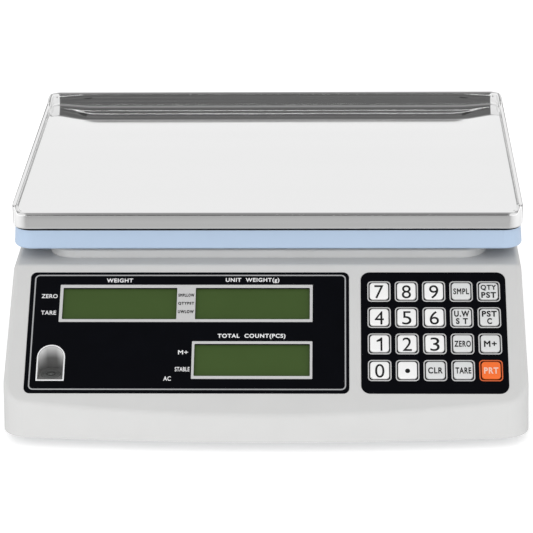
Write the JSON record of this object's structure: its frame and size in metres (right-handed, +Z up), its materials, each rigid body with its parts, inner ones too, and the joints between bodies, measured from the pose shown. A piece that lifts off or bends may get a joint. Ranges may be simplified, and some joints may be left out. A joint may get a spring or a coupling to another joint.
{
  "type": "counting scale",
  "caption": "Bench counting scale: stainless pan on a load cell platform, sloped front panel with liquid crystal displays, a key grid, a spirit level and levelling feet.",
  "frame": {"origin": "middle of the footprint, on the surface that the feet stand on", "axes": "+X to the operator's right, +Y from the sloped front panel to the back, +Z up"},
  "size_m": [0.3434, 0.3233, 0.1387],
  "materials": {
    "housing_white": "fine satin moulded ABS",
    "plate_grey": "powder coated steel",
    "zinc_steel": "zinc plated",
    "cell_aluminium": "machined",
    "support_blue": "satin moulded ABS",
    "pan_stainless": "polished stainless steel",
    "overlay_black": "printed polycarbonate sheet",
    "key_white": "embossed key, printed legend",
    "key_grey": "embossed key, printed legend",
    "key_orange": "embossed key, printed legend",
    "silicone": "moulded silicone",
    "foot_rubber": "moulded rubber",
    "board_green": "glass-fibre board",
    "lcd_glass": "reflective liquid crystal display, unlit",
    "vial_clear": "clear acrylic",
    "battery_black": "moulded case",
    "cable_black": "flexible sheath",
    "nylon_white": "nylon",
    "switch_black": "fine texture",
    "port_steel": "plated"
  },
  "bodies": {
    "housing": {"top_housing": "housing_white", "base_plate": "plate_grey", "housing_screws": "zinc_steel", "load_cell": "cell_aluminium", "cell_pedestal": "cell_aluminium", "cell_lower_screws": "zinc_steel", "overload_stop": "zinc_steel", "display_overlay": "overlay_black", "keypad_overlay": "overlay_black", "key_mat": "silicone", "keypad_board": "board_green", "lcd_weight": "lcd_glass", "lcd_unit_weight": "lcd_glass", "lcd_count": "lcd_glass", "main_board": "board_green", "board_standoffs": "nylon_white", "level_vial": "vial_clear", "battery": "battery_black", "battery_strap": "zinc_steel", "battery_lead": "cable_black", "load_cell_cable": "cable_black", "power_switch": "switch_black", "dc_jack": "switch_black", "serial_port": "port_steel"},
    "platform": {"spider": "cell_aluminium", "cell_spacer": "cell_aluminium", "cell_upper_screws": "zinc_steel", "support_screws": "zinc_steel", "pan_support": "support_blue", "support_pads": "foot_rubber"},
    "pan": {"pan": "pan_stainless"},
    "key_7": {"key_7": "key_white"},
    "key_8": {"key_8": "key_white"},
    "key_9": {"key_9": "key_white"},
    "key_sample": {"key_sample": "key_grey"},
    "key_quantity_preset": {"key_quantity_preset": "key_grey"},
    "key_4": {"key_4": "key_white"},
    "key_5": {"key_5": "key_white"},
    "key_6": {"key_6": "key_white"},
    "key_unit_weight_set": {"key_unit_weight_set": "key_grey"},
    "key_preset_clear": {"key_preset_clear": "key_grey"},
    "key_1": {"key_1": "key_white"},
    "key_2": {"key_2": "key_white"},
    "key_3": {"key_3": "key_white"},
    "key_zero": {"key_zero": "key_grey"},
    "key_memory": {"key_memory": "key_grey"},
    "key_0": {"key_0": "key_white"},
    "key_point": {"key_point": "key_white"},
    "key_clear": {"key_clear": "key_grey"},
    "key_tare": {"key_tare": "key_grey"},
    "key_print": {"key_print": "key_orange"},
    "power_rocker": {"power_rocker": "switch_black"},
    "foot_pad_front_left": {"foot_pad_front_left": "foot_rubber"},
    "foot_stud_front_left": {"foot_stud_front_left": "zinc_steel"},
    "foot_pad_front_right": {"foot_pad_front_right": "foot_rubber"},
    "foot_stud_front_right": {"foot_stud_front_right": "zinc_steel"},
    "foot_pad_rear_left": {"foot_pad_rear_left": "foot_rubber"},
    "foot_stud_rear_left": {"foot_stud_rear_left": "zinc_steel"},
    "foot_pad_rear_right": {"foot_pad_rear_right": "foot_rubber"},
    "foot_stud_rear_right": {"foot_stud_rear_right": "zinc_steel"}
  },
  "joints": [
    {"name": "platform_deflection", "type": "slide", "parent": "housing", "child": "platform", "axis": [0, 0, -1], "range_m": [0, 0.0004], "stiffness_N_per_m": 740000, "deforming": ["load_cell"]},
    {"name": "pan_lift", "type": "slide", "parent": "platform", "child": "pan", "axis": [0, 0, 1], "range_m": [0, 0.05]},
    {"name": "key_7_press", "type": "slide", "parent": "housing", "child": "key_7", "axis": [0, 0.6252, -0.7804], "range_m": [0, 0.0007], "stiffness_N_per_m": 2500},
    {"name": "key_8_press", "type": "slide", "parent": "housing", "child": "key_8", "axis": [0, 0.6252, -0.7804], "range_m": [0, 0.0007], "stiffness_N_per_m": 2500},
    {"name": "key_9_press", "type": "slide", "parent": "housing", "child": "key_9", "axis": [0, 0.6252, -0.7804], "range_m": [0, 0.0007], "stiffness_N_per_m": 2500},
    {"name": "key_sample_press", "type": "slide", "parent": "housing", "child": "key_sample", "axis": [0, 0.6252, -0.7804], "range_m": [0, 0.0007], "stiffness_N_per_m": 2500},
    {"name": "key_quantity_preset_press", "type": "slide", "parent": "housing", "child": "key_quantity_preset", "axis": [0, 0.6252, -0.7804], "range_m": [0, 0.0007], "stiffness_N_per_m": 2500},
    {"name": "key_4_press", "type": "slide", "parent": "housing", "child": "key_4", "axis": [0, 0.6252, -0.7804], "range_m": [0, 0.0007], "stiffness_N_per_m": 2500},
    {"name": "key_5_press", "type": "slide", "parent": "housing", "child": "key_5", "axis": [0, 0.6252, -0.7804], "range_m": [0, 0.0007], "stiffness_N_per_m": 2500},
    {"name": "key_6_press", "type": "slide", "parent": "housing", "child": "key_6", "axis": [0, 0.6252, -0.7804], "range_m": [0, 0.0007], "stiffness_N_per_m": 2500},
    {"name": "key_unit_weight_set_press", "type": "slide", "parent": "housing", "child": "key_unit_weight_set", "axis": [0, 0.6252, -0.7804], "range_m": [0, 0.0007], "stiffness_N_per_m": 2500},
    {"name": "key_preset_clear_press", "type": "slide", "parent": "housing", "child": "key_preset_clear", "axis": [0, 0.6252, -0.7804], "range_m": [0, 0.0007], "stiffness_N_per_m": 2500},
    {"name": "key_1_press", "type": "slide", "parent": "housing", "child": "key_1", "axis": [0, 0.6252, -0.7804], "range_m": [0, 0.0007], "stiffness_N_per_m": 2500},
    {"name": "key_2_press", "type": "slide", "parent": "housing", "child": "key_2", "axis": [0, 0.6252, -0.7804], "range_m": [0, 0.0007], "stiffness_N_per_m": 2500},
    {"name": "key_3_press", "type": "slide", "parent": "housing", "child": "key_3", "axis": [0, 0.6252, -0.7804], "range_m": [0, 0.0007], "stiffness_N_per_m": 2500},
    {"name": "key_zero_press", "type": "slide", "parent": "housing", "child": "key_zero", "axis": [0, 0.6252, -0.7804], "range_m": [0, 0.0007], "stiffness_N_per_m": 2500},
    {"name": "key_memory_press", "type": "slide", "parent": "housing", "child": "key_memory", "axis": [0, 0.6252, -0.7804], "range_m": [0, 0.0007], "stiffness_N_per_m": 2500},
    {"name": "key_0_press", "type": "slide", "parent": "housing", "child": "key_0", "axis": [0, 0.6252, -0.7804], "range_m": [0, 0.0007], "stiffness_N_per_m": 2500},
    {"name": "key_point_press", "type": "slide", "parent": "housing", "child": "key_point", "axis": [0, 0.6252, -0.7804], "range_m": [0, 0.0007], "stiffness_N_per_m": 2500},
    {"name": "key_clear_press", "type": "slide", "parent": "housing", "child": "key_clear", "axis": [0, 0.6252, -0.7804], "range_m": [0, 0.0007], "stiffness_N_per_m": 2500},
    {"name": "key_tare_press", "type": "slide", "parent": "housing", "child": "key_tare", "axis": [0, 0.6252, -0.7804], "range_m": [0, 0.0007], "stiffness_N_per_m": 2500},
    {"name": "key_print_press", "type": "slide", "parent": "housing", "child": "key_print", "axis": [0, 0.6252, -0.7804], "range_m": [0, 0.0007], "stiffness_N_per_m": 2500},
    {"name": "power_rocker_tilt", "type": "hinge", "parent": "housing", "child": "power_rocker", "pos_m": [0.1652, 0.06, 0.048], "axis": [0, -1, 0], "range_deg": [0, 20]},
    {"name": "foot_height_front_left", "type": "slide", "parent": "housing", "child": "foot_pad_front_left", "axis": [0, 0, -1], "range_m": [-0.001, 0.006]},
    {"name": "foot_turn_front_left", "type": "hinge", "parent": "foot_pad_front_left", "child": "foot_stud_front_left", "pos_m": [-0.138, -0.115, 0.005], "axis": [0, 0, -1], "range_deg": [-290, 1730]},
    {"name": "foot_height_front_right", "type": "slide", "parent": "housing", "child": "foot_pad_front_right", "axis": [0, 0, -1], "range_m": [-0.001, 0.006]},
    {"name": "foot_turn_front_right", "type": "hinge", "parent": "foot_pad_front_right", "child": "foot_stud_front_right", "pos_m": [0.138, -0.115, 0.005], "axis": [0, 0, -1], "range_deg": [-290, 1730]},
    {"name": "foot_height_rear_left", "type": "slide", "parent": "housing", "child": "foot_pad_rear_left", "axis": [0, 0, -1], "range_m": [-0.001, 0.006]},
    {"name": "foot_turn_rear_left", "type": "hinge", "parent": "foot_pad_rear_left", "child": "foot_stud_rear_left", "pos_m": [-0.138, 0.128, 0.005], "axis": [0, 0, -1], "range_deg": [-290, 1730]},
    {"name": "foot_height_rear_right", "type": "slide", "parent": "housing", "child": "foot_pad_rear_right", "axis": [0, 0, -1], "range_m": [-0.001, 0.006]},
    {"name": "foot_turn_rear_right", "type": "hinge", "parent": "foot_pad_rear_right", "child": "foot_stud_rear_right", "pos_m": [0.138, 0.128, 0.005], "axis": [0, 0, -1], "range_deg": [-290, 1730]}
  ],
  "couplings": [
    {"joint": "foot_turn_front_left", "follows": "foot_height_front_left", "rad_per_m": 5026.5},
    {"joint": "foot_turn_front_right", "follows": "foot_height_front_right", "rad_per_m": 5026.5},
    {"joint": "foot_turn_rear_left", "follows": "foot_height_rear_left", "rad_per_m": 5026.5},
    {"joint": "foot_turn_rear_right", "follows": "foot_height_rear_right", "rad_per_m": 5026.5}
  ]
}
